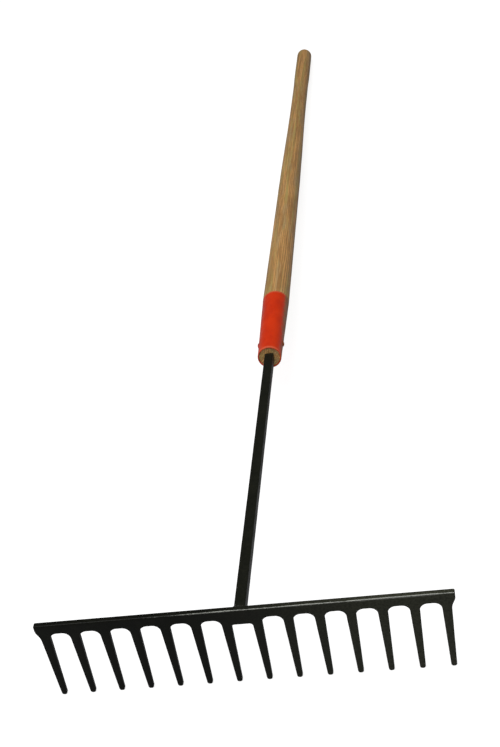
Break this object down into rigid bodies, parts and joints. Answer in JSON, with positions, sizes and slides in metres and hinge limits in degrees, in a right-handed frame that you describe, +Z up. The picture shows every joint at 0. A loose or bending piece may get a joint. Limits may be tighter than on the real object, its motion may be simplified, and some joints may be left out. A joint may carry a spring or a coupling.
{
  "type": "level head rake",
  "caption": "Level-head garden rake: forged steel comb of straight tines on a square shank, with a red ferrule and a turned wooden handle, lying on its tines and butt.",
  "frame": {"origin": "middle of the footprint on the ground, with the rake lying on its tine tips and its butt", "axes": "+X along the head, +Y from the head to the butt of the handle, +Z up"},
  "size_m": [0.3802, 1.6435, 0.0887],
  "materials": {
    "black_enamel": "satin black enamel on forged steel",
    "weld_enamel": "black enamel over a weld bead",
    "lacquered_wood": "clear satin lacquer on straight-grained hardwood",
    "red_paint": "glossy red paint on a steel sleeve",
    "rivet_paint": "red paint on a steel rivet, worn on the crown"
  },
  "bodies": {
    "root": {"rake_head": "black_enamel", "shank": "black_enamel", "weld_bead": "weld_enamel", "handle": "lacquered_wood", "ferrule": "red_paint", "rivet": "rivet_paint"}
  },
  "joints": []
}
